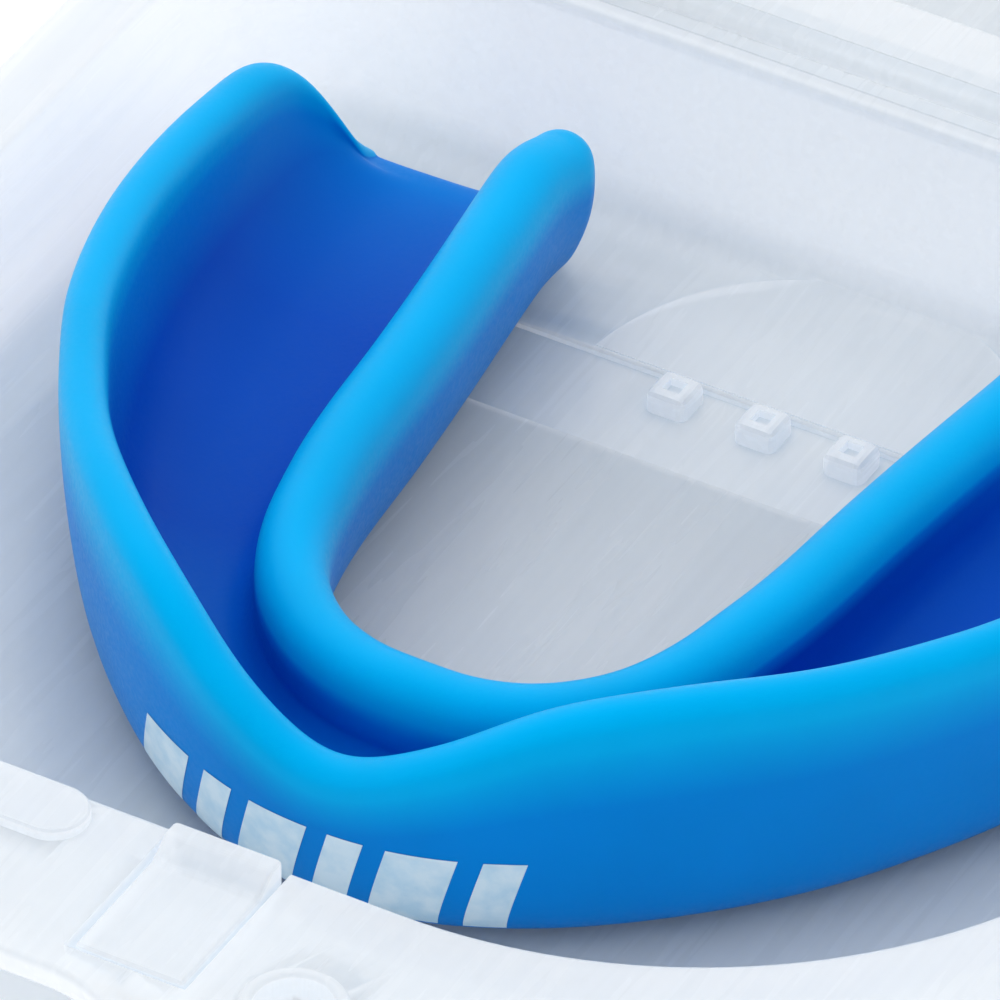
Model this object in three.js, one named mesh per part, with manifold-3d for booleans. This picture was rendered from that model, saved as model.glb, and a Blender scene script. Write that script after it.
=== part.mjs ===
// Mouthguard in its clamshell carry case, drawn with the case lying open and flat.
//
// Millimetres, +Z up. The origin is on the table, under the hinge line.
// The base tray lies on the -Y side of the hinge with its latch furthest out, the lid on the +Y side.
// Both are D-shaped shells with a flat ledge round the rim, joined by a thin web along the hinge line.
// A flexible tongue in the base's front ledge snaps into a window in the lid's ledge.
// The mouthguard lies in the base with its trough upwards and its front towards the latch.

import * as THREE from "three";
import { mergeVertices } from "three/addons/utils/BufferGeometryUtils.js";
import Module from "manifold-3d";

const wasm = await Module();
wasm.setup();

// ---- driving dimensions of the case -------------------------------------------------------------

const RIM_Z = 12.4; // top of both ledges above the table
const LEDGE_T = 1.6; // thickness of the ledges
const FLOOR_T = 1.6; // thickness of both floors
const WALL_T = 1.4; // moulded walls
const DRAFT = 2.0; // how far a wall leans in on its way down
const FILLET = 3.0; // round between wall and floor
const GAP = 0.35; // air between pieces that nearly touch
const BEYOND = 1; // how far a cutting shape reaches past what it cuts
const HALF_WEB_SPACE = 1.3; // each ledge stops this far from the hinge line

// D-shaped outlines: half width near the latch and near the hinge, distance of both ends from the hinge line,
// the radii of the corners there, and the points drawn round a latch corner. `tab` is how far the thumb tab
// stands out of the latch end.
const LEDGE = {
  wLatch: 44.3, wHinge: 43.4, latch: 84.2, hinge: HALF_WEB_SPACE, rLatch: 36, rHinge: 13, latchSteps: 25, tab: 5.5,
};
const BASE_WELL = { wLatch: 40.1, wHinge: 39.4, latch: 71.8, hinge: 2.7, rLatch: 30, rHinge: 10, latchSteps: 15 };
const HINGE_STEPS = 7; // points drawn round a hinge corner
const LID_WELL = { ...BASE_WELL, hinge: 6.3 };
const TAB = { x: 9.5, halfWidth: 13, steps: [0.99, 0.8, 0.6, 0.4, 0.2] };
const HANG_HOLE = { x: 8.8, y: 80.7, radius: 2.1, lipRadius: 2.75, lipRise: 0.25 };

const TONGUE = {
  halfWidth: 3.15, tip: 72.1, root: 82.0, drop: 2.3, noseRise: 0.9, noseFlat: 1.0, noseSlope: 1.4, thinner: 0.1,
};
const PAD = { inner: 7.2, outer: 23, near: 72.1, far: 76, rise: 0.65 };
const BAND = { near: 15.9, far: 22.7, halfWidth: 33, depth: 0.3 };
const STUD = { width: 2.4, rise: 1.0, pitch: 5.3, y: 17.5 };
const CRESCENT = { x: 1.5, y: 17.7, radius: 12.9, front: 15.5, rise: 0.8 };

// ---- driving dimensions of the mouthguard -------------------------------------------------------

const GUARD_FRONT_Y = -64; // the front of its outer wall
const GUARD_Z = FLOOR_T + 0.3;
const BITE = 3.2; // thickness of the bite floor
const OUTER_WALL = 2.7; // thickness of the outer wall near its top
const INNER_WALL = 3.9; // thickness of the inner wall near its top
const GUARD_EDGE = 0.7; // round along its bottom edges
const END_ROUND = 0.8; // round of its rear ends
const FLARE = 0.118; // the outer wall leans out by this share of its height
const INNER_LEAN = 1.4; // the inner walls of the arms lean this far in over the tongue
const LEAN_FULL_AT = 12; // distance from the middle plane where that lean is complete
const FOOT_SHIFT = 0.4; // the inner wall's trough side starts this far in, and follows this share of its lean
const DOME_LIMIT = 0.8; // a low wall's rounded top takes at most this share of its height above the bite floor
const FACE_BEND = { height: 0.34, lean: 0.75 }; // shares of height and lean where the outer face bends
// The rounds between bite floor and walls: height, and points as [distance from the wall, share of that height].
const OUTER_ROUND = { height: 3.5, points: [[0.9, 0.03], [-0.3, 0.25]], topLean: 0.9 };
const INNER_ROUND = { height: 1.5, points: [[0.5, 0.27], [1.4, 0]] };
const TIP_ANGLES = [75, 50, 25]; // where cross-sections are drawn on the round of a rear end
const GUARD_STATIONS = 72; // cross-sections along the arch

// From the middle of the front to a rear end: foot of the outer wall, foot of the inner wall (both as distance
// from the middle plane and distance behind the front), height of the outer wall and of the inner wall.
const ARCH = [
  [0, 1.3, 0, 12.1, 9.9, 9.7],
  [5.5, 2.2, 3.0, 12.3, 12.0, 9.6],
  [11.1, 5.0, 6.0, 13.3, 15.2, 9.6],
  [16.4, 9.2, 8.9, 15.5, 15.9, 9.7],
  [21.2, 14.3, 10.9, 18.6, 15.3, 9.9],
  [24.7, 19.6, 12.1, 22.6, 14.7, 10.0],
  [27.4, 24.8, 12.8, 27, 14.2, 10.0],
  [29.5, 31.4, 13.3, 32.8, 13.6, 10.0],
  [30.7, 38, 14.0, 39, 12.8, 10.0],
  [31.2, 44, 14.8, 45, 11.9, 10.0],
  [31.2, 48, 15.3, 49, 11.1, 10.0],
  [30.6, 50.2, 15.4, 51.0, 9.2, 9.7],
  [29.3, 51.6, 15.3, 52.7, 5.2, 9.2],
];

// ---- solids from meshes -------------------------------------------------------------------------

function solid(geometry) {
  geometry.deleteAttribute("normal");
  geometry.deleteAttribute("uv");
  const merged = mergeVertices(geometry);
  return new wasm.Manifold(new wasm.Mesh({
    numProp: 3,
    vertProperties: merged.attributes.position.array,
    triVerts: new Uint32Array(merged.index.array),
  }));
}

function geometryOf(manifold) {
  const mesh = manifold.getMesh();
  const geometry = new THREE.BufferGeometry();
  geometry.setAttribute("position", new THREE.BufferAttribute(mesh.vertProperties, 3));
  geometry.setIndex(new THREE.BufferAttribute(mesh.triVerts, 1));
  geometry.computeVertexNormals();
  return geometry;
}

// A closed solid through rings of equally many points. Each ring runs anticlockwise as seen from the next one.
function loft(rings) {
  const count = rings[0].length;
  const points = rings.flat();
  const faces = [];
  for (let ring = 0; ring + 1 < rings.length; ring++) {
    for (let i = 0; i < count; i++) {
      const a = ring * count + i;
      const b = ring * count + ((i + 1) % count);
      faces.push(a, b, b + count, a, b + count, a + count);
    }
  }
  const last = (rings.length - 1) * count;
  const capOf = (ring) => {
    const normal = new THREE.Vector3();
    ring.forEach((p, i) => normal.add(p.clone().cross(ring[(i + 1) % count])));
    const flat = new THREE.Quaternion().setFromUnitVectors(normal.normalize(), new THREE.Vector3(0, 0, 1));
    return THREE.ShapeUtils.triangulateShape(ring.map((p) => p.clone().applyQuaternion(flat)), []);
  };
  capOf(rings[0]).forEach(([a, b, c]) => faces.push(a, c, b));
  capOf(rings.at(-1)).forEach(([a, b, c]) => faces.push(last + a, last + b, last + c));
  const geometry = new THREE.BufferGeometry().setFromPoints(points);
  geometry.setIndex(faces);
  return solid(geometry);
}

function box(x0, x1, y0, y1, z0, z1) {
  const geometry = new THREE.BoxGeometry(x1 - x0, y1 - y0, z1 - z0);
  return solid(geometry.translate((x0 + x1) / 2, (y0 + y1) / 2, (z0 + z1) / 2));
}

function post(x, y, radius, z0, z1, sides = 32) {
  const geometry = new THREE.CylinderGeometry(radius, radius, z1 - z0, sides).rotateX(Math.PI / 2);
  return solid(geometry.translate(x, y, (z0 + z1) / 2));
}

// ---- outlines and walls of a shell --------------------------------------------------------------
// A shell is drawn as a lid, at +Y. The base is the same drawing turned half round about Z, so that its
// thumb tab comes out on the other side of the middle from the lid's.

// One outline moved inwards by `inset`, as points running anticlockwise from above.
function outline(d, inset = 0) {
  const latch = d.latch - inset;
  const hinge = d.hinge + inset;
  const corners = [
    [d.wHinge - inset, hinge, d.rHinge - inset, HINGE_STEPS],
    [d.wLatch - inset, latch, d.rLatch - inset, d.latchSteps],
    [inset - d.wLatch, latch, d.rLatch - inset, d.latchSteps],
    [inset - d.wHinge, hinge, d.rHinge - inset, HINGE_STEPS],
  ];
  const points = corners.flatMap(([x, y, radius, steps], i) => {
    const corner = new THREE.Vector2(x, y);
    const before = new THREE.Vector2(...corners.at(i - 1)).sub(corner).normalize();
    const after = new THREE.Vector2(...corners[(i + 1) % 4]).sub(corner).normalize();
    const half = Math.acos(before.dot(after)) / 2;
    const middle = before.clone().add(after).setLength(radius / Math.sin(half)).add(corner);
    const start = before.multiplyScalar(radius / Math.tan(half)).add(corner).sub(middle).angle();
    return Array.from({ length: steps }, (_, k) => {
      const angle = start + ((Math.PI - 2 * half) * k) / (steps - 1);
      const px = middle.x + radius * Math.cos(angle);
      const py = middle.y + radius * Math.sin(angle);
      return new THREE.Vector2(px, py);
    });
  });
  return d.tab ? withTab(points, d, latch) : points;
}

// The thumb tab swells out of the latch end as one smooth wave.
function withTab(points, d, latch) {
  const reach = (x) => d.tab * Math.cos((Math.PI / 2) * Math.min(Math.abs((x + TAB.x) / TAB.halfWidth), 1)) ** 2;
  const straight = points.findIndex((p) => p.x < 0);
  const samples = TAB.steps.map((share) => new THREE.Vector2(-TAB.x + share * TAB.halfWidth, latch));
  return points.toSpliced(straight, 0, ...samples)
    .map((p) => new THREE.Vector2(p.x, p.y > d.latch / 2 ? p.y + reach(p.x) : p.y));
}

const raise = (points, z) => points.map((p) => new THREE.Vector3(p.x, p.y, z));

// Rings of a shell's inside (offset 0) or outside (offset = wall thickness), from the floor to the rim.
function wallRings(well, wall, floorZ, top) {
  const arcTop = FLOOR_T + FILLET;
  const rings = [0, 0.2, 0.4, 0.6, 0.8, 1].map((share) => {
    const angle = (share * Math.PI) / 2;
    const inset = DRAFT + FILLET - (FILLET + wall) * Math.sin(angle);
    return raise(outline(well, inset), arcTop - (arcTop - floorZ) * Math.cos(angle));
  });
  return [...rings, raise(outline(well, -wall), RIM_Z - LEDGE_T / 2), raise(outline(well, -wall), top)];
}

function shell(well) {
  const ledge = loft([raise(outline(LEDGE), RIM_Z - LEDGE_T), raise(outline(LEDGE), RIM_Z)]);
  const outside = loft(wallRings(well, WALL_T, 0, RIM_Z));
  const inside = loft(wallRings(well, 0, FLOOR_T, RIM_Z + BEYOND));
  const { x, y, radius, lipRadius, lipRise } = HANG_HOLE;
  const lip = post(-x, y, lipRadius, RIM_Z - LEDGE_T, RIM_Z + lipRise);
  const hole = post(-x, y, radius, RIM_Z - 2 * LEDGE_T, RIM_Z + LEDGE_T);
  return ledge.add(lip).add(outside).subtract(inside).subtract(hole);
}

// ---- base tray ----------------------------------------------------------------------------------

const slotHalf = TONGUE.halfWidth + GAP;
const wallFoot = BASE_WELL.latch - DRAFT;
const slotLow = RIM_Z - LEDGE_T - TONGUE.drop;
const tongueSlot = box(-slotHalf, slotHalf, -TONGUE.root - GAP, -wallFoot, slotLow, RIM_Z + BEYOND);

function pad() {
  const round = (PAD.far - PAD.near) / 2;
  const bar = box(-PAD.outer, -PAD.inner - round, -PAD.far, -PAD.near, RIM_Z - LEDGE_T / 2, RIM_Z + PAD.rise);
  const nose = post(-PAD.inner - round, -PAD.near - round, round, RIM_Z - LEDGE_T / 2, RIM_Z + PAD.rise);
  return bar.add(nose).subtract(loft(wallRings(BASE_WELL, 0, FLOOR_T, RIM_Z + LEDGE_T)).rotate([0, 0, 180]));
}

// A low wedge on the floor behind the band, with an arc-shaped rear edge.
function crescent() {
  const wedge = loft([-1, 1].map((side) => {
    const x = CRESCENT.x + side * CRESCENT.radius;
    const rear = CRESCENT.radius - CRESCENT.y;
    const low = -FLOOR_T / 2;
    const ring = [[-CRESCENT.front, 0], [-CRESCENT.front, low], [rear, low], [rear, CRESCENT.rise]];
    return ring.map(([y, z]) => new THREE.Vector3(x, y, FLOOR_T + z));
  }));
  return wedge.intersect(post(CRESCENT.x, -CRESCENT.y, CRESCENT.radius, 0, RIM_Z, 64));
}

function caseBase() {
  const halfStud = STUD.width / 2;
  const band = box(-BAND.halfWidth, BAND.halfWidth, -BAND.far, -BAND.near, FLOOR_T - BAND.depth, FLOOR_T + BEYOND);
  const studs = [-1, 0, 1].map((i) => {
    const x = i * STUD.pitch;
    const y = -STUD.y;
    return box(x - halfStud, x + halfStud, y - halfStud, y + halfStud, FLOOR_T / 2, FLOOR_T + STUD.rise);
  });
  const raised = shell(BASE_WELL).rotate([0, 0, 180]).add(pad()).add(crescent());
  const tray = raised.subtract(tongueSlot).subtract(band);
  return studs.reduce((whole, stud) => whole.add(stud), tray);
}

// ---- latch tongue, lid and hinge web ------------------------------------------------------------

// A strip in the front ledge, fixed at its outer end, with a wedge-shaped nose at its free end.
function latchTongue() {
  const low = RIM_Z - LEDGE_T + TONGUE.thinner;
  const top = RIM_Z + TONGUE.noseRise;
  const profile = [[TONGUE.root, low], [TONGUE.tip, low], [TONGUE.tip, top], [TONGUE.tip + TONGUE.noseFlat, top],
    [TONGUE.tip + TONGUE.noseFlat + TONGUE.noseSlope, RIM_Z], [TONGUE.root, RIM_Z]];
  return loft([-1, 1].map((side) => profile.map(([y, z]) => new THREE.Vector3(side * TONGUE.halfWidth, -y, z))));
}

function caseLid() {
  const noseEnd = TONGUE.tip + TONGUE.noseFlat + TONGUE.noseSlope;
  const window = box(-slotHalf, slotHalf, wallFoot, noseEnd + GAP, RIM_Z - LEDGE_T - BEYOND, RIM_Z + BEYOND);
  const padSeat = box(-PAD.outer - GAP, -PAD.inner + GAP, wallFoot, PAD.far + GAP, RIM_Z - PAD.rise, RIM_Z + BEYOND);
  return shell(LID_WELL).subtract(window).subtract(padSeat);
}

const WEB = { halfLength: 30, halfWidth: 0.8, thickness: 0.35, below: 0.2 };

function livingHinge() {
  const top = RIM_Z - WEB.below;
  return box(-WEB.halfLength, WEB.halfLength, -WEB.halfWidth, WEB.halfWidth, top - WEB.thickness, top);
}

// ---- mouthguard ---------------------------------------------------------------------------------

// Cross-section at one station, as [distance from the outer wall's foot, height] pairs, anticlockwise when the
// inner wall is on the right.
function guardProfile(width, outerHeight, innerHeight, lean) {
  const lip = -FLARE * outerHeight;
  const outerDome = Math.min(OUTER_WALL / 2, (outerHeight - BITE) * DOME_LIMIT);
  const rise = Math.min(OUTER_ROUND.height, outerHeight - BITE - outerDome);
  const face = width + lean;
  const shoulder = innerHeight - INNER_WALL / 2;
  const footIn = width - INNER_WALL + FOOT_SHIFT * (1 + lean);
  const dome = (x, half, z, tall) => [0, 45, 90, 135, 180].map((degrees) => {
    const angle = THREE.MathUtils.degToRad(degrees);
    return [x + half * Math.cos(angle), z + tall * Math.sin(angle)];
  });
  return [
    [GUARD_EDGE, 0], [width - GUARD_EDGE, 0], [width, GUARD_EDGE],
    ...dome(face - INNER_WALL / 2, INNER_WALL / 2, shoulder, INNER_WALL / 2),
    [footIn, BITE + INNER_ROUND.height],
    ...INNER_ROUND.points.map(([away, share]) => [footIn - away, BITE + INNER_ROUND.height * share]),
    ...OUTER_ROUND.points.map(([away, share]) => [OUTER_WALL + away, BITE + rise * share]),
    [OUTER_WALL + lip * OUTER_ROUND.topLean, BITE + rise],
    ...dome(OUTER_WALL / 2 + lip, OUTER_WALL / 2, outerHeight - outerDome, outerDome),
    [lip * FACE_BEND.lean, outerHeight * FACE_BEND.height], [0, GUARD_EDGE],
  ];
}

// A section moved inwards by `inset` all round, to close a rear end with a round.
function shrink(profile, inset) {
  return profile.map(([x, z], i) => {
    const before = profile.at(i - 1);
    const after = profile[(i + 1) % profile.length];
    const along = new THREE.Vector2(after[0] - before[0], after[1] - before[1]).normalize();
    return [x - inset * along.y, z + inset * along.x];
  });
}

function mouthguard() {
  const otherArm = ARCH.slice(1).reverse().map(([ox, oy, ix, iy, ...high]) => [-ox, oy, -ix, iy, ...high]);
  const rows = [...otherArm, ...ARCH];
  const outer = new THREE.CatmullRomCurve3(rows.map(([x, y, , , high]) => new THREE.Vector3(x, y, high)));
  const inner = new THREE.CatmullRomCurve3(rows.map(([, , x, y, , high]) => new THREE.Vector3(x, y, high)));
  const station = (t, beyond = 0, inset = 0) => {
    const from = outer.getPoint(t);
    const to = inner.getPoint(t);
    const lean = INNER_LEAN * Math.min(Math.abs(to.x) / LEAN_FULL_AT, 1) ** 2;
    const width = Math.hypot(to.x - from.x, to.y - from.y);
    const profile = shrink(guardProfile(width, from.z, to.z, lean), inset);
    const across = new THREE.Vector3(to.x - from.x, to.y - from.y, 0).normalize();
    return profile.map(([x, z]) => new THREE.Vector3(from.x, GUARD_FRONT_Y + from.y + beyond, GUARD_Z + z)
      .addScaledVector(across, x));
  };
  const tip = (t) => TIP_ANGLES.map((degrees) => {
    const angle = THREE.MathUtils.degToRad(degrees);
    return station(t, END_ROUND * Math.sin(angle), END_ROUND * (1 - Math.cos(angle)));
  });
  const middle = Array.from({ length: GUARD_STATIONS + 1 }, (_, i) => station(i / GUARD_STATIONS));
  return loft([...tip(0), ...middle, ...tip(1).reverse()]);
}

// ---- the named pieces ---------------------------------------------------------------------------

const frosted = new THREE.MeshStandardMaterial({
  color: 0xeef1f3, roughness: 0.38, metalness: 0, transparent: true, opacity: 0.55,
});
const blueEva = new THREE.MeshStandardMaterial({ color: 0x0080d7, roughness: 0.5, metalness: 0 });

const pieces = {
  case_base: [caseBase(), frosted],
  case_lid: [caseLid(), frosted],
  living_hinge: [livingHinge(), frosted],
  latch_tongue: [latchTongue(), frosted],
  mouthguard_body: [mouthguard(), blueEva],
};

const group = new THREE.Group();
for (const [name, [manifold, material]] of Object.entries(pieces)) {
  const mesh = new THREE.Mesh(geometryOf(manifold), material);
  mesh.name = name;
  group.add(mesh);
}

export default group;
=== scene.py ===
"""Looks of the mouthguard and its open carry case. Metres, in the CAD frame: +Y from latch to lid, +Z up."""

import math

import bmesh
import bpy
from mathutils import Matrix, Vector
from mathutils.bvhtree import BVHTree


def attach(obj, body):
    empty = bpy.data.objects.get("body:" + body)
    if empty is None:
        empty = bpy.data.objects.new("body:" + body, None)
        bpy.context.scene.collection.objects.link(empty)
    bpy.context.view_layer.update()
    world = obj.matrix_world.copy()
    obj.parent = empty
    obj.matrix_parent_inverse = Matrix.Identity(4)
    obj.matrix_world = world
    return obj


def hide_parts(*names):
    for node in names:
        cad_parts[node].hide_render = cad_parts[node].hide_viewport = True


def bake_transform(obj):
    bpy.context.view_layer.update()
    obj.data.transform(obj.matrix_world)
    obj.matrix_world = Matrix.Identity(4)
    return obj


MM = 0.001

# ---- sizes of the case, in millimetres ----------------------------------------------------------

RIM_Z = 12.4
LEDGE_T = 1.6
FLOOR_T = 1.6
WALL_T = 1.4
DRAFT = 2.0
FILLET = 3.0
GAP = 0.35
EDGE = 0.45  # round on the rims' edges
LEDGE = dict(w_latch=44.3, w_hinge=43.4, latch=84.2, hinge=1.3, r_latch=36, r_hinge=13, tab=5.5)
BASE_WELL = dict(w_latch=40.1, w_hinge=39.4, latch=71.8, hinge=2.7, r_latch=30, r_hinge=10, tab=0)
LID_WELL = dict(BASE_WELL, hinge=6.3)
TAB_X, TAB_HALF = 9.5, 13.0
HOLE_X, HOLE_Y, HOLE_R = 8.8, 80.7, 2.1
TONGUE_HALF, TONGUE_TIP, TONGUE_ROOT, TONGUE_DROP = 3.15, 72.1, 82.0, 2.3
NOSE_RISE, NOSE_FLAT, NOSE_SLOPE = 0.9, 1.0, 1.4
PAD_INNER, PAD_OUTER, PAD_NEAR, PAD_FAR, PAD_RISE = 7.2, 23.0, 72.1, 76.0, 0.65
BAND_NEAR, BAND_FAR, BAND_HALF, BAND_DEPTH = 15.9, 22.7, 33.0, 0.3
STUD_W, STUD_RISE, STUD_PITCH, STUD_Y = 2.4, 1.0, 5.3, 17.5
CRESCENT_X, CRESCENT_Y, CRESCENT_R, CRESCENT_RISE, CRESCENT_FRONT = 1.5, 17.7, 12.9, 0.8, 15.5
WEB_HALF_LENGTH, WEB_T, WEB_BELOW = 34.0, 0.35, 0.2

# ---- sizes of the mouthguard, in millimetres ----------------------------------------------------

GUARD_FRONT_Y = -64.0
GUARD_Z = FLOOR_T + 0.3
BITE = 3.2
OUTER_WALL, INNER_WALL = 2.7, 3.9  # thickness near their tops
FLARE = 0.118  # the outer wall leans out by this share of its height
INNER_LEAN = 1.4  # the arms' inner walls lean this far in over the tongue
END_ROUND = 1.5  # round of the rear ends
END_FALL = 1.3  # how steeply the outer wall keeps falling in that round
END_STEP = 0.5  # what is left of it above the bite floor
LEAN_FULL_AT = 12.0  # distance from the middle plane where the lean of the inner wall is complete
# Foot of the outer wall, foot of the inner wall (distance from the middle plane, distance behind the front),
# height of the outer wall, height of the inner wall, from the middle of the front to a rear end.
ARCH = (
    (0, 1.3, 0, 12.1, 9.9, 9.7),
    (5.5, 2.2, 3.0, 12.3, 12.0, 9.6),
    (11.1, 5.0, 6.0, 13.3, 15.2, 9.6),
    (16.4, 9.2, 8.9, 15.5, 15.9, 9.7),
    (21.2, 14.3, 10.9, 18.6, 15.3, 9.9),
    (24.7, 19.6, 12.1, 22.6, 14.7, 10.0),
    (27.4, 24.8, 12.8, 27, 14.2, 10.0),
    (29.5, 31.4, 13.3, 32.8, 13.6, 10.0),
    (30.7, 38, 14.0, 39, 12.8, 10.0),
    (31.2, 44, 14.8, 45, 11.9, 10.0),
    (31.2, 48, 15.3, 49, 11.1, 10.0),
    (30.6, 50.2, 15.4, 51.0, 9.2, 9.7),
    (29.3, 51.6, 15.3, 52.7, 5.2, 9.2),
)
PRINT_LOW, PRINT_HIGH, PRINT_SLANT = 0.9, 6.0, 0.3
PRINT_BARS = ((-13.6, 3.6), (-8.8, 2.0), (-5.6, 3.6), (-0.8, 2.0), (2.4, 3.6), (7.2, 2.0))  # start, width

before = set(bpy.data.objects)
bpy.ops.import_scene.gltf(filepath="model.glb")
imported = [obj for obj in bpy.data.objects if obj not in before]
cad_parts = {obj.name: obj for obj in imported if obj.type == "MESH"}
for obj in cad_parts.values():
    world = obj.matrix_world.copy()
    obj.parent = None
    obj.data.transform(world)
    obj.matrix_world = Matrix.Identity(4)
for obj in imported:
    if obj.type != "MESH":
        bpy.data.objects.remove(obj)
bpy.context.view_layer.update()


# ---- meshes -------------------------------------------------------------------------------------

def mesh_object(name, points, faces, smooth=True):
    """An object from points in millimetres."""
    mesh = bpy.data.meshes.new(name)
    mesh.from_pydata([tuple(MM * c for c in p) for p in points], [], faces)
    mesh.update()
    bm = bmesh.new()
    bm.from_mesh(mesh)
    bmesh.ops.recalc_face_normals(bm, faces=bm.faces)
    bm.to_mesh(mesh)
    bm.free()
    for polygon in mesh.polygons:
        polygon.use_smooth = smooth
    obj = bpy.data.objects.new(name, mesh)
    bpy.context.scene.collection.objects.link(obj)
    return obj


def skin(name, rings, smooth=True):
    """A closed object through rings of equally many points, each end shut by one flat face."""
    count = len(rings[0])
    faces = []
    for r in range(len(rings) - 1):
        for i in range(count):
            j = (i + 1) % count
            a, b = r * count, (r + 1) * count
            faces.append((a + i, a + j, b + j, b + i))
    last = (len(rings) - 1) * count
    faces.append(tuple(range(count)))
    faces.append(tuple(range(last, last + count)))
    return mesh_object(name, [p for ring in rings for p in ring], faces, smooth)


def block(name, low, high, bevel=0.0, segments=3):
    """A box between two corners, with rounded edges."""
    points = [(x, y, z) for x in (low[0], high[0]) for y in (low[1], high[1]) for z in (low[2], high[2])]
    faces = [(0, 1, 3, 2), (4, 6, 7, 5), (0, 4, 5, 1), (2, 3, 7, 6), (0, 2, 6, 4), (1, 5, 7, 3)]
    obj = mesh_object(name, points, faces, False)
    if bevel:
        round_edges(obj, bevel, segments)
    return obj


def round_edges(obj, width, segments=3, angle=50):
    bevel = obj.modifiers.new("round", "BEVEL")
    bevel.width = width * MM
    bevel.segments = segments
    bevel.limit_method = "ANGLE"
    bevel.angle_limit = math.radians(angle)
    bevel.harden_normals = False
    apply_modifiers(obj)


def apply_modifiers(obj):
    depsgraph = bpy.context.evaluated_depsgraph_get()
    baked = bpy.data.meshes.new_from_object(obj.evaluated_get(depsgraph))
    obj.modifiers.clear()
    obj.data = baked


def combine(obj, other, operation):
    """Boolean with a helper object, which is then removed."""
    boolean = obj.modifiers.new(operation, "BOOLEAN")
    boolean.operation = operation
    boolean.solver = "EXACT"
    boolean.object = other
    apply_modifiers(obj)
    bpy.data.objects.remove(other)
    return obj


# ---- outlines of the case -----------------------------------------------------------------------

LATCH_STEPS, HINGE_STEPS, STRAIGHT_STEPS = 40, 14, 16


def outline(d, inset=0.0):
    """A D-shaped outline at +Y, moved inwards by inset, as (x, y) points anticlockwise from above."""
    latch, hinge = d["latch"] - inset, d["hinge"] + inset
    wl, wh = d["w_latch"] - inset, d["w_hinge"] - inset
    rl, rh = d["r_latch"] - inset, d["r_hinge"] - inset
    corners = [(wh, hinge, rh, HINGE_STEPS), (wl, latch, rl, LATCH_STEPS),
               (-wl, latch, rl, LATCH_STEPS), (-wh, hinge, rh, HINGE_STEPS)]
    arcs = []
    for i, (x, y, radius, steps) in enumerate(corners):
        corner = Vector((x, y))
        before = (Vector(corners[i - 1][:2]) - corner).normalized()
        after = (Vector(corners[(i + 1) % 4][:2]) - corner).normalized()
        half = before.angle(after) / 2
        middle = corner + (before + after).normalized() * (radius / math.sin(half))
        first = corner + before * (radius / math.tan(half)) - middle
        start = math.atan2(first.y, first.x)
        turns = [start + (math.pi - 2 * half) * k / (steps - 1) for k in range(steps)]
        arcs.append([Vector((middle.x + radius * math.cos(a), middle.y + radius * math.sin(a))) for a in turns])
    points = []
    for i, arc in enumerate(arcs):
        following = arcs[(i + 1) % 4][0]
        points += arc
        points += [arc[-1].lerp(following, k / STRAIGHT_STEPS) for k in range(1, STRAIGHT_STEPS)]
    return [(p.x, p.y + (tab_reach(d, p.x) if p.y > d["latch"] / 2 else 0)) for p in points]


def tab_reach(d, x):
    across = min(abs((x + TAB_X) / TAB_HALF), 1)
    return d["tab"] * math.cos(math.pi / 2 * across) ** 2


def at(points, z):
    return [(x, y, z) for x, y in points]


def between(a, b, share):
    return [(p[0] + (q[0] - p[0]) * share, p[1] + (q[1] - p[1]) * share) for p, q in zip(a, b)]


def quarter(steps):
    return [math.pi / 2 * k / steps for k in range(steps + 1)]


def shell(name, well):
    """The moulding of a tray, drawn at +Y: floor, wall, rounded rim and ledge, back under to the floor."""
    rings = []
    arc_top = FLOOR_T + FILLET
    for a in quarter(8):
        rings.append(at(outline(well, DRAFT + FILLET - FILLET * math.sin(a)), arc_top - FILLET * math.cos(a)))
    rim_low = RIM_Z - EDGE
    slope = DRAFT / (RIM_Z - arc_top)
    rings.append(at(outline(well, slope * (RIM_Z - arc_top) / 2), (rim_low + arc_top) / 2))
    for a in quarter(4):
        rings.append(at(outline(well, EDGE * (math.cos(a) - 1) + slope * EDGE / 2), rim_low + EDGE * math.sin(a)))
    ledge_in = outline(well, -EDGE + slope * EDGE / 2)
    ledge_out = outline(LEDGE, EDGE)
    for share in (0.05, 0.2, 0.5, 0.8, 0.95):
        rings.append(at(between(ledge_in, ledge_out, share), RIM_Z))
    for a in quarter(4):
        rings.append(at(outline(LEDGE, EDGE * (1 - math.sin(a))), RIM_Z - EDGE * (1 - math.cos(a))))
    low = RIM_Z - LEDGE_T
    for a in quarter(4):
        rings.append(at(outline(LEDGE, EDGE * (1 - math.cos(a))), low + EDGE * (1 - math.sin(a))))
    under_in = outline(well, -WALL_T - EDGE)
    under_out = outline(LEDGE, EDGE)
    for share in (0.05, 0.3, 0.7, 0.95):
        rings.append(at(between(under_out, under_in, share), low))
    for a in quarter(3):
        rings.append(at(outline(well, -WALL_T - EDGE * (1 - math.sin(a))), low - EDGE * (1 - math.cos(a))))
    for a in reversed(quarter(9)[:-1]):
        inset = DRAFT + FILLET - (FILLET + WALL_T) * math.sin(a)
        rings.append(at(outline(well, inset), arc_top * (1 - math.cos(a))))
    return skin(name, rings)


def bar(name, x0, x1, y0, y1, z0, z1, bevel=0.0):
    return block(name, (x0, y0, z0), (x1, y1, z1), bevel)


def disc(name, x, y, radius, z0, z1, steps=64):
    ring = [(x + radius * math.cos(2 * math.pi * k / steps), y + radius * math.sin(2 * math.pi * k / steps))
            for k in range(steps)]
    return skin(name, [at(ring, z0), at(ring, z1)], False)


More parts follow.
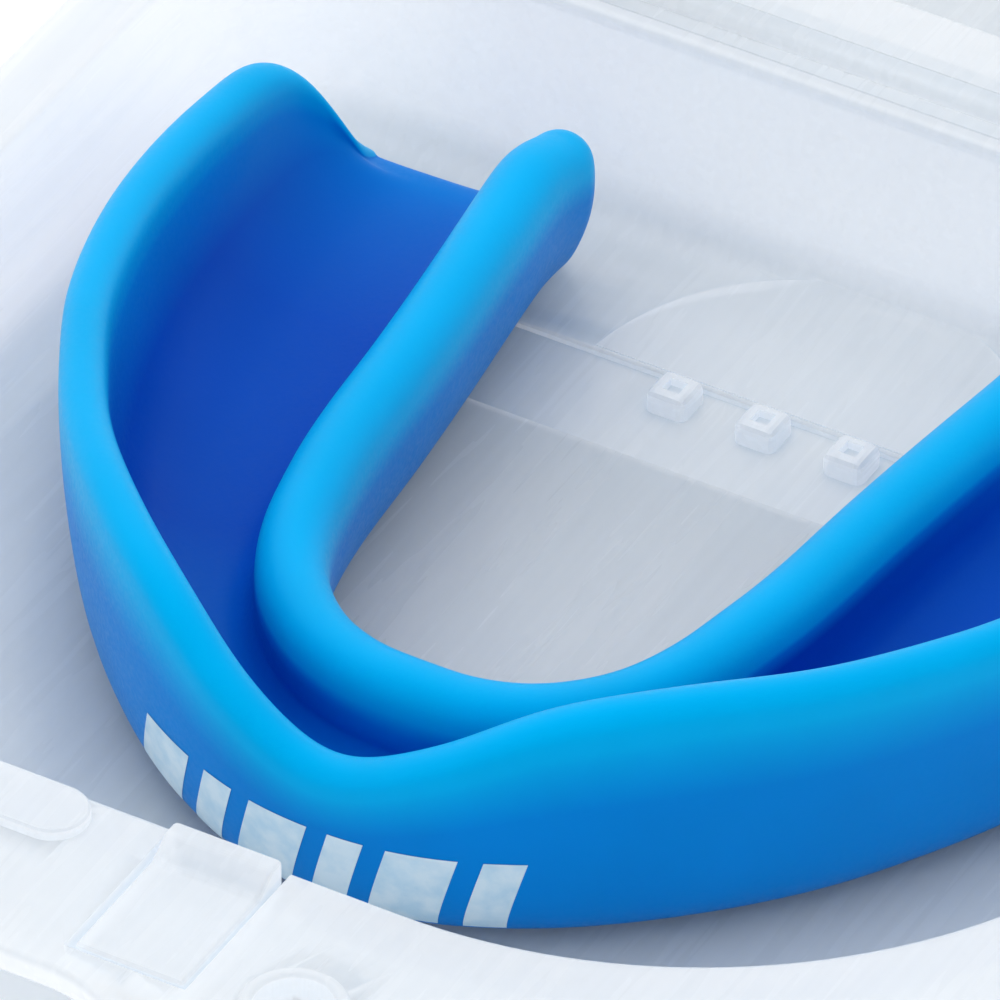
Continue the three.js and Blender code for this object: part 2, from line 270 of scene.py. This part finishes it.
def hole_lip(name, x, y):
    """A low rounded ring round the hanging hole."""
    tube, steps, around = 0.42, 12, 64
    rings = []
    for k in range(around):
        turn = 2 * math.pi * k / around
        reach = [HOLE_R + tube * (0.9 + math.cos(2 * math.pi * i / steps)) for i in range(steps)]
        high = [RIM_Z - 0.12 + tube * math.sin(2 * math.pi * i / steps) for i in range(steps)]
        rings.append([(x + r * math.cos(turn), y + r * math.sin(turn), z) for r, z in zip(reach, high)])
    points = [p for ring in rings for p in ring]
    faces = []
    for k in range(around):
        a, b = k * steps, ((k + 1) % around) * steps
        faces += [(a + i, a + (i + 1) % steps, b + (i + 1) % steps, b + i) for i in range(steps)]
    return mesh_object(name, points, faces)


def half_turn(obj):
    """Turns an object drawn as a lid into one drawn as a base."""
    for vertex in obj.data.vertices:
        vertex.co.x, vertex.co.y = -vertex.co.x, -vertex.co.y
    return obj


slot_half = TONGUE_HALF + GAP
wall_foot = BASE_WELL["latch"] - DRAFT
nose_end = TONGUE_TIP + NOSE_FLAT + NOSE_SLOPE


def base_tray():
    tray = shell("base_tray", BASE_WELL)
    combine(tray, hole_lip("lip", -HOLE_X, HOLE_Y), "UNION")
    combine(tray, disc("hole", -HOLE_X, HOLE_Y, HOLE_R, 5, 20), "DIFFERENCE")
    half_turn(tray)
    slot_low = RIM_Z - LEDGE_T - TONGUE_DROP
    slot = bar("slot", -slot_half, slot_half, -TONGUE_ROOT - GAP, -wall_foot, slot_low, 20)
    combine(tray, slot, "DIFFERENCE")
    band = bar("band", -BAND_HALF, BAND_HALF, -BAND_FAR, -BAND_NEAR, FLOOR_T - BAND_DEPTH, FLOOR_T + 1, 0)
    combine(tray, band, "DIFFERENCE")
    combine(tray, crescent(), "UNION")
    for i in (-1, 0, 1):
        x = i * STUD_PITCH
        half = STUD_W / 2
        stud = bar("stud", x - half, x + half, -STUD_Y - half, -STUD_Y + half, 0.8, FLOOR_T + STUD_RISE, 0.45)
        dimple = bar("dimple", x - 0.5, x + 0.5, -STUD_Y - 0.5, -STUD_Y + 0.5, FLOOR_T + STUD_RISE / 2, 5)
        combine(tray, combine(stud, dimple, "DIFFERENCE"), "UNION")
    combine(tray, pad(), "UNION")
    round_edges(tray, 0.12, 2, 55)
    return tray


def crescent():
    steps = 48
    ring = []
    for k in range(steps + 1):
        low = math.asin((CRESCENT_Y - CRESCENT_FRONT) / CRESCENT_R)
        a = low + (math.pi - 2 * low) * k / steps
        ring.append((CRESCENT_X + CRESCENT_R * math.cos(a), -CRESCENT_Y + CRESCENT_R * math.sin(a)))
    reach = CRESCENT_R - CRESCENT_Y + CRESCENT_FRONT
    top = [(x, y, FLOOR_T + 0.05 + CRESCENT_RISE * (y + CRESCENT_FRONT) / reach) for x, y in ring]
    return skin("crescent", [at(ring, 0.8), top], False)


def pad():
    radius = (PAD_FAR - PAD_NEAR) / 2
    y = -(PAD_FAR + PAD_NEAR) / 2
    ring = []
    for k in range(25):
        a = -math.pi / 2 + math.pi * k / 24
        ring.append((-PAD_INNER - radius + radius * math.cos(a), y + radius * math.sin(a)))
    ring += [(-PAD_OUTER + 1.0, y + radius), (-PAD_OUTER, y), (-PAD_OUTER + 1.0, y - radius)]
    obj = skin("pad", [at(ring, RIM_Z - 0.8), at(ring, RIM_Z + PAD_RISE)], False)
    round_edges(obj, 0.3, 3, 60)
    return obj


def lid():
    obj = shell("lid_shell", LID_WELL)
    combine(obj, hole_lip("lip", -HOLE_X, HOLE_Y), "UNION")
    combine(obj, disc("hole", -HOLE_X, HOLE_Y, HOLE_R, 5, 20), "DIFFERENCE")
    window = bar("window", -slot_half, slot_half, wall_foot, nose_end + GAP, RIM_Z - LEDGE_T - 1, 20)
    combine(obj, window, "DIFFERENCE")
    seat = bar("seat", -PAD_OUTER - GAP, GAP - PAD_INNER, wall_foot, PAD_FAR + GAP, RIM_Z - PAD_RISE, 20)
    combine(obj, seat, "DIFFERENCE")
    round_edges(obj, 0.12, 2, 55)
    return obj


def tongue():
    low, top = RIM_Z - LEDGE_T + 0.1, RIM_Z + NOSE_RISE
    profile = [(TONGUE_ROOT, low), (TONGUE_TIP, low), (TONGUE_TIP, top), (TONGUE_TIP + NOSE_FLAT, top),
               (nose_end, RIM_Z), (TONGUE_ROOT, RIM_Z)]
    rings = [[(side * TONGUE_HALF, -y, z) for y, z in profile] for side in (-1, 1)]
    obj = skin("snap_tongue", rings, False)
    round_edges(obj, 0.3, 4, 25)
    return obj


def hinge_web():
    """The thin web, a strip with a groove along the hinge line, in steps across it."""
    steps, half, groove, groove_half = 24, 1.75, 0.6, 0.42
    rings = []
    for k in range(steps + 1):
        y = -half + 2 * half * k / steps
        top = RIM_Z + 0.02 - groove * math.exp(-(y / groove_half) ** 2)
        x = WEB_HALF_LENGTH
        rings.append([(-x, y, top - WEB_T), (x, y, top - WEB_T), (x, y, top), (-x, y, top)])
    return skin("hinge_web", rings)


# ---- mouthguard ---------------------------------------------------------------------------------

def through(values, t):
    """Catmull-Rom through equally spaced values, t from 0 to len - 1."""
    i = min(int(t), len(values) - 2)
    f = t - i
    p0, p3 = values[max(i - 1, 0)], values[min(i + 2, len(values) - 1)]
    p1, p2 = values[i], values[i + 1]
    return 0.5 * (2 * p1 + (p2 - p0) * f + (2 * p0 - 5 * p1 + 4 * p2 - p3) * f * f
                  + (3 * p1 - p0 - 3 * p2 + p3) * f ** 3)


def arch_at(t):
    """The six ARCH numbers at t from -1 (left rear end) through 0 (front) to 1 (right rear end)."""
    rows = [(-r[0], r[1], -r[2], r[3], r[4], r[5]) for r in reversed(ARCH[1:])] + list(ARCH)
    along = (t + 1) / 2 * (len(rows) - 1)
    return [through([row[i] for row in rows], along) for i in range(6)]


def guard_section(width, outer_h, inner_h, lean_in):
    """Two matching chains of (distance from the outer foot, height): outside of the U, and its trough."""
    half_o, half_i = OUTER_WALL / 2, INNER_WALL / 2
    lean = -FLARE * outer_h
    dome = min(half_o, (outer_h - BITE) * 0.8)
    face = inner_h - half_i
    inner_face = width + lean_in
    outside = [
        (lean, outer_h - dome), (lean * 0.95, outer_h * 0.62), (lean * 0.72, outer_h * 0.34),
        (lean * 0.45, 1.8), (0.1, 0.4), (1.2, 0.0), (width * 0.35, 0.0), (width * 0.65, 0.0), (width - 1.2, 0.0),
        (width - 0.1, 0.5), (width + lean_in * 0.35, 1.8), (width + lean_in * 0.8, face * 0.5),
        (inner_face, face * 0.75), (inner_face, face),
    ]
    high = outer_h - dome
    lip = OUTER_WALL + lean
    wall_in = inner_face - INNER_WALL
    foot_in = width - INNER_WALL + 0.4 + lean_in * 0.4
    room = foot_in - lip
    round_x, round_z = 0.5 * room, min(0.8 * (high - BITE), 0.65 * room)
    turns = [math.radians(a) for a in (12, 35, 55, 75, 90)]
    sweep = [(lip + round_x * (1 - math.cos(a)), BITE + round_z * (1 - math.sin(a))) for a in turns]
    trough = [(lip, high), (lip, (high + BITE + round_z) / 2)] + sweep + [
        (lip + 0.68 * room, BITE), (lip + 0.84 * room, BITE + 0.15), (lip + 0.95 * room, BITE + 0.7),
        (foot_in, BITE + 1.7), ((foot_in + wall_in) / 2, face * 0.68), (wall_in, face * 0.85), (wall_in, face),
    ]
    return outside, trough, dome_points(lean, half_o, high, dome), dome_points(wall_in, half_i, face, half_i)


def dome_points(x, half, z, tall):
    """The rounded top of a wall, from its outer side to its inner side, without the two ends."""
    turns = [math.pi * (1 - k / 6) for k in range(1, 6)]
    return [(x + half + half * math.cos(a), z + tall * math.sin(a)) for a in turns]


def shrunk(loop, inset):
    """A cross-section moved inwards all round, less so at the thin outer wall."""
    moved = []
    widest = max(u for u, _ in loop)
    for i, (u, z) in enumerate(loop):
        (u0, z0), (u1, z1) = loop[i - 1], loop[(i + 1) % len(loop)]
        length = math.hypot(u1 - u0, z1 - z0)
        near = inset * (0.15 + 0.85 * min(max(u / widest, 0), 1))
        moved.append((u - near * (z1 - z0) / length, z + near * (u1 - u0) / length))
    return moved


def guard_ring(t, beyond=0.0, inset=0.0):
    ox, oy, ix, iy, outer_h, inner_h = arch_at(t)
    outer_h = max(outer_h - END_FALL * beyond, BITE + END_STEP)
    width = math.hypot(ix - ox, iy - oy)
    ux, uy = (ix - ox) / width, (iy - oy) / width
    lean_in = INNER_LEAN * min(abs(ix) / LEAN_FULL_AT, 1) ** 2
    outside, trough, outer_dome, inner_dome = guard_section(width, outer_h, inner_h, lean_in)
    loop = outside + list(reversed(inner_dome)) + list(reversed(trough)) + outer_dome[::-1]
    loop = shrunk(loop, inset)
    return [(ox + ux * u, GUARD_FRONT_Y + oy + uy * u + beyond, GUARD_Z + z) for u, z in loop]


def guard():
    steps = 40
    tips = [(END_ROUND * math.sin(a), END_ROUND * (1 - math.cos(a))) for a in map(math.radians, (25, 50, 72))]
    rings = [guard_ring(-1, *tip) for tip in reversed(tips)]
    rings += [guard_ring(k / steps) for k in range(-steps, steps + 1)]
    rings += [guard_ring(1, *tip) for tip in tips]
    chain, domes = 14, 5
    count = len(rings[0])
    faces = []
    for r in range(len(rings) - 1):
        a, b = r * count, (r + 1) * count
        faces += [(a + i, a + (i + 1) % count, b + (i + 1) % count, b + i) for i in range(count)]
    for first in (0, (len(rings) - 1) * count):
        trough_start = chain + domes
        mate = [first + trough_start + chain - 1 - i for i in range(chain)]
        own = [first + i for i in range(chain)]
        faces += [(own[i], own[i + 1], mate[i + 1], mate[i]) for i in range(chain - 1)]
        faces.append(tuple([own[-1]] + [first + chain + i for i in range(domes)] + [mate[-1]]))
        faces.append(tuple([mate[0]] + [first + trough_start + chain + i for i in range(domes)] + [own[0]]))
    obj = mesh_object("mouthguard", [p for ring in rings for p in ring], faces)
    mark_painted_light_and_shade(obj, rings, chain, domes)
    subdivide = obj.modifiers.new("smooth", "SUBSURF")
    subdivide.levels = subdivide.render_levels = 2
    return obj


def print_bars(on):
    """Slanted bars printed on the front of the guard, laid on its surface."""
    surface = BVHTree.FromObject(on, bpy.context.evaluated_depsgraph_get())
    points, faces = [], []
    across, up = 10, 12
    for start, width in PRINT_BARS:
        first = len(points)
        for j in range(up + 1):
            z = PRINT_LOW + (PRINT_HIGH - PRINT_LOW) * j / up
            for i in range(across + 1):
                x = start + width * i / across + PRINT_SLANT * (z - PRINT_LOW)
                origin = Vector((x, GUARD_FRONT_Y - 20, GUARD_Z + z)) * MM
                hit, normal, _, _ = surface.ray_cast(origin, Vector((0, 1, 0)))
                if normal.y > 0:
                    normal = -normal
                points.append(tuple((hit + normal * 0.03 * MM) / MM))
        row = across + 1
        faces += [(first + j * row + i, first + j * row + i + 1, first + (j + 1) * row + i + 1, first + (j + 1) * row + i)
                  for j in range(up) for i in range(across)]
    return mesh_object("front_print", points, faces)


# Values of the painted light and shade on the guard: the rims painted lightest, the outside mid, the deepest trough
# painted darkest.
RIM_MARK, OUTSIDE_MARK, DEEPEST_MARK = 0.0, 0.3, 1.0
NARROW, WIDE = 5.0, 11.0  # widths of the trough where its shade is weakest and full
REAR_FADE = 16  # cross-sections over which the shade fades out towards a rear end


def mark_painted_light_and_shade(obj, rings, chain, domes):
    """Marks the rims, the outside and how deep in the trough a point lies, for the painted light and shade in the
    colour of the material: lit rims, a mid outside and a shaded trough.
    """
    deep = obj.data.attributes.new("painted_light_and_shade", "FLOAT", "POINT")
    first, last = chain + domes, 2 * chain + domes - 1
    values = []
    for r, ring in enumerate(rings):
        wide = math.dist(ring[first], ring[last])
        share = 0.4 + 0.6 * min(max((wide - NARROW) / (WIDE - NARROW), 0), 1)
        share *= min(1, 0.45 + 0.55 * min(r, len(rings) - 1 - r) / REAR_FADE)
        top = max(ring[first][2], ring[last][2])
        for i, (_, _, z) in enumerate(ring):
            if first < i < last:
                down = min(max(1.6 * (top - z) / (top - GUARD_Z - BITE), 0), 1)
                values.append(RIM_MARK + share * down * (DEEPEST_MARK - RIM_MARK))
            elif 0 < i < chain - 1:
                values.append(OUTSIDE_MARK)
            else:
                values.append(RIM_MARK)
    deep.data.foreach_set("value", values)


# ---- materials ----------------------------------------------------------------------------------

def nodes_of(name):
    material = bpy.data.materials.new(name)
    material.use_nodes = True
    tree = material.node_tree
    return material, tree, tree.nodes["Principled BSDF"]


def noise(tree, scale, detail, stretch=(1, 1, 1), turn=(0, 0, 0)):
    place = tree.nodes.new("ShaderNodeTexCoord")
    mapping = tree.nodes.new("ShaderNodeMapping")
    mapping.inputs["Scale"].default_value = stretch
    mapping.inputs["Rotation"].default_value = turn
    texture = tree.nodes.new("ShaderNodeTexNoise")
    texture.inputs["Scale"].default_value = scale
    texture.inputs["Detail"].default_value = detail
    tree.links.new(place.outputs["Object"], mapping.inputs["Vector"])
    tree.links.new(mapping.outputs["Vector"], texture.inputs["Vector"])
    return texture.outputs["Fac"]


def ramp(tree, value, stops):
    node = tree.nodes.new("ShaderNodeValToRGB")
    node.color_ramp.elements[0].position, node.color_ramp.elements[0].color = stops[0]
    node.color_ramp.elements[1].position, node.color_ramp.elements[1].color = stops[1]
    for position, colour in stops[2:]:
        node.color_ramp.elements.new(position).color = colour
    tree.links.new(value, node.inputs["Fac"])
    return node.outputs["Color"]


def multiply(tree, a, b):
    mix = tree.nodes.new("ShaderNodeMix")
    mix.data_type = "RGBA"
    mix.blend_type = "MULTIPLY"
    mix.inputs["Factor"].default_value = 1
    tree.links.new(a, mix.inputs["A"])
    tree.links.new(b, mix.inputs["B"])
    return mix.outputs["Result"]


def bump(tree, shader, value, distance, strength):
    node = tree.nodes.new("ShaderNodeBump")
    node.inputs["Distance"].default_value = distance * MM
    node.inputs["Strength"].default_value = strength
    tree.links.new(value, node.inputs["Height"])
    tree.links.new(node.outputs["Normal"], shader.inputs["Normal"])


def frosted():
    """Milky see-through polypropylene: faint clouds, fine diagonal drag marks, and painted blue shade wherever
    nearby parts, the guard most of all, shade it.
    """
    material, tree, shader = nodes_of("frosted polypropylene")
    clouds = ramp(tree, noise(tree, 60, 3), ((0.3, (0.83, 0.83, 0.83, 1)), (0.7, (0.87, 0.87, 0.87, 1))))
    # painted shade: ambient occlusion tints the base colour blue where nearby parts hide the plastic from the light
    shade = tree.nodes.new("ShaderNodeAmbientOcclusion")
    shade.inputs["Distance"].default_value = 26 * MM
    painted_blue_shade = ramp(tree, shade.outputs["AO"], ((0.15, (0.58, 0.76, 0.93, 1)), (0.6, (1, 1, 1, 1))))
    tree.links.new(multiply(tree, clouds, painted_blue_shade), shader.inputs["Base Color"])
    streaks = noise(tree, 900, 2, (1, 0.06, 1), (0, 0, math.radians(-35)))
    tree.links.new(ramp(tree, streaks, ((0.35, (0.2, 0.2, 0.2, 1)), (0.7, (0.34, 0.34, 0.34, 1)))),
                   shader.inputs["Roughness"])
    tree.links.new(ramp(tree, streaks, ((0.3, (0.5, 0.5, 0.5, 1)), (0.75, (0.6, 0.6, 0.6, 1)))),
                   shader.inputs["Alpha"])
    shader.inputs["IOR"].default_value = 1.49
    shader.inputs["Coat Weight"].default_value = 0.3
    shader.inputs["Coat Roughness"].default_value = 0.14
    tree.links.new(lit_through_with_painted_glow(tree, shader), tree.nodes["Material Output"].inputs["Surface"])
    return material


def lit_through_with_painted_glow(tree, shader):
    """Adds light that comes through the plastic, and a painted glow on the steep walls: an emission that brightens
    them as if light were piped along them.
    """
    glow = tree.nodes.new("ShaderNodeBsdfTranslucent")
    glow.inputs["Color"].default_value = (0.96, 0.96, 0.96, 1)
    mix = tree.nodes.new("ShaderNodeMixShader")
    mix.inputs["Fac"].default_value = 0.35
    tree.links.new(shader.outputs["BSDF"], mix.inputs[1])
    tree.links.new(glow.outputs["BSDF"], mix.inputs[2])
    # painted light: the steep walls glow by emission, though they are no lamp
    geometry = tree.nodes.new("ShaderNodeNewGeometry")
    split = tree.nodes.new("ShaderNodeSeparateXYZ")
    tree.links.new(geometry.outputs["Normal"], split.inputs["Vector"])
    steep = tree.nodes.new("ShaderNodeMath")
    steep.operation = "ABSOLUTE"
    tree.links.new(split.outputs["Z"], steep.inputs[0])
    painted_wall_glow = tree.nodes.new("ShaderNodeEmission")
    tree.links.new(ramp(tree, steep.outputs["Value"], ((0.2, (0.13, 0.12, 0.11, 1)), (0.7, (0, 0, 0, 1)))),
                   painted_wall_glow.inputs["Color"])
    both = tree.nodes.new("ShaderNodeAddShader")
    tree.links.new(mix.outputs["Shader"], both.inputs[0])
    tree.links.new(painted_wall_glow.outputs["Emission"], both.inputs[1])
    return both.outputs["Shader"]


def blue_eva():
    """Moulded EVA: saturated blue with painted light and shade, lightest on the rims and darkest deep in the trough,
    waxy, with a fine matte grain.
    """
    material, tree, shader = nodes_of("blue EVA")
    painted_light_and_shade = tree.nodes.new("ShaderNodeAttribute")
    painted_light_and_shade.attribute_name = "painted_light_and_shade"
    # painted light and shade: rims painted lightest, the outside mid, the trough darkest
    painted_light_and_shade = ramp(tree, painted_light_and_shade.outputs["Fac"], ((RIM_MARK, (0.0, 0.38, 0.78, 1)), (DEEPEST_MARK, (0.0, 0.06, 0.46, 1)),
                                              (OUTSIDE_MARK, (0.0, 0.21, 0.66, 1))))
    tone = ramp(tree, noise(tree, 90, 4), ((0.3, (0.92, 0.92, 0.92, 1)), (0.7, (1, 1, 1, 1))))
    tree.links.new(multiply(tree, painted_light_and_shade, tone), shader.inputs["Base Color"])
    grain = noise(tree, 3200, 3)
    tree.links.new(ramp(tree, grain, ((0.3, (0.36, 0.36, 0.36, 1)), (0.7, (0.5, 0.5, 0.5, 1)))),
                   shader.inputs["Roughness"])
    bump(tree, shader, grain, 0.02, 0.25)
    shader.inputs["IOR"].default_value = 1.5
    shader.inputs["Specular IOR Level"].default_value = 0.15
    shader.inputs["Specular Tint"].default_value = (0.0, 0.85, 1.0, 1)
    shader.inputs["Subsurface Weight"].default_value = 0.1
    shader.inputs["Subsurface Radius"].default_value = (0.02, 0.5, 1.0)
    shader.inputs["Subsurface Scale"].default_value = 1.0 * MM
    return material


def print_ink():
    """Pale ink with a slightly worn tone."""
    material, tree, shader = nodes_of("pale ink")
    wear_marks = noise(tree, 700, 4)
    tree.links.new(ramp(tree, wear_marks, ((0.35, (0.50, 0.70, 0.83, 1)), (0.6, (0.66, 0.80, 0.88, 1)))),
                   shader.inputs["Base Color"])
    shader.inputs["Roughness"].default_value = 0.5
    return material


def plain(name, colour, roughness):
    material, tree, shader = nodes_of(name)
    shader.inputs["Base Color"].default_value = (*colour, 1)
    shader.inputs["Roughness"].default_value = roughness
    return material


def wear(obj, material, body, slot, *cad_nodes):
    obj.data.materials.clear()
    obj.data.materials.append(material)
    for polygon in obj.data.polygons:
        polygon.material_index = 0
    if body:
        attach(obj, body)
    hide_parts(*cad_nodes)


case_plastic = frosted()
eva = blue_eva()
CASE_SLOT = "frosted_polypropylene"
wear(base_tray(), case_plastic, "base", CASE_SLOT, "case_base")
wear(lid(), case_plastic, "lid", CASE_SLOT, "case_lid")
wear(tongue(), case_plastic, "latch_tongue", CASE_SLOT, "latch_tongue")
web = hinge_web()
wear(web, case_plastic, None, CASE_SLOT, "living_hinge")
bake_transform(web)
mouthguard = guard()
printed = print_bars(mouthguard)
wear(mouthguard, eva, "mouthguard", "blue_eva", "mouthguard_body")
printed.data.materials.append(print_ink())
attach(printed, "mouthguard")


# ---- studio -------------------------------------------------------------------------------------

def studio():
    floor = block("floor", (-3000, -3000, -20), (3000, 3000, -0.02))
    floor.data.materials.append(plain("floor", (0.95, 0.95, 0.95), 0.6))
    world = bpy.data.worlds.new("studio")
    bpy.context.scene.world = world
    world.use_nodes = True
    world.node_tree.nodes["Background"].inputs["Color"].default_value = (1, 1, 1, 1)
    world.node_tree.nodes["Background"].inputs["Strength"].default_value = 1.02
    light = bpy.data.lights.new("softbox", "AREA")
    light.size = 1.2
    light.energy = 5.5
    lamp = bpy.data.objects.new("softbox", light)
    lamp.location = (-0.35, 0.2, 1.15)
    lamp.rotation_euler = (Vector((0, -0.04, 0)) - lamp.location).to_track_quat("-Z", "Y").to_euler()
    bpy.context.scene.collection.objects.link(lamp)
    bpy.context.scene.view_settings.view_transform = "Standard"


def camera():
    """A long lens from the front right, 30 degrees round and 38.8 degrees up."""
    azimuth, elevation, distance = math.radians(30), math.radians(38.8), 1.0
    back = Vector((math.sin(azimuth) * math.cos(elevation), -math.cos(azimuth) * math.cos(elevation),
                   math.sin(elevation)))
    look_at = Vector((-8.9, 34.4 + GUARD_FRONT_Y, GUARD_Z)) * MM
    field = 52.08 * MM
    data = bpy.data.cameras.new("camera")
    data.sensor_width = 36
    data.lens = 36 * distance / field
    data.clip_start, data.clip_end = 0.05, 20
    obj = bpy.data.objects.new("camera", data)
    obj.location = look_at + back * distance
    obj.rotation_euler = (-back).to_track_quat("-Z", "Y").to_euler()
    bpy.context.scene.collection.objects.link(obj)
    bpy.context.scene.camera = obj


studio()
camera()
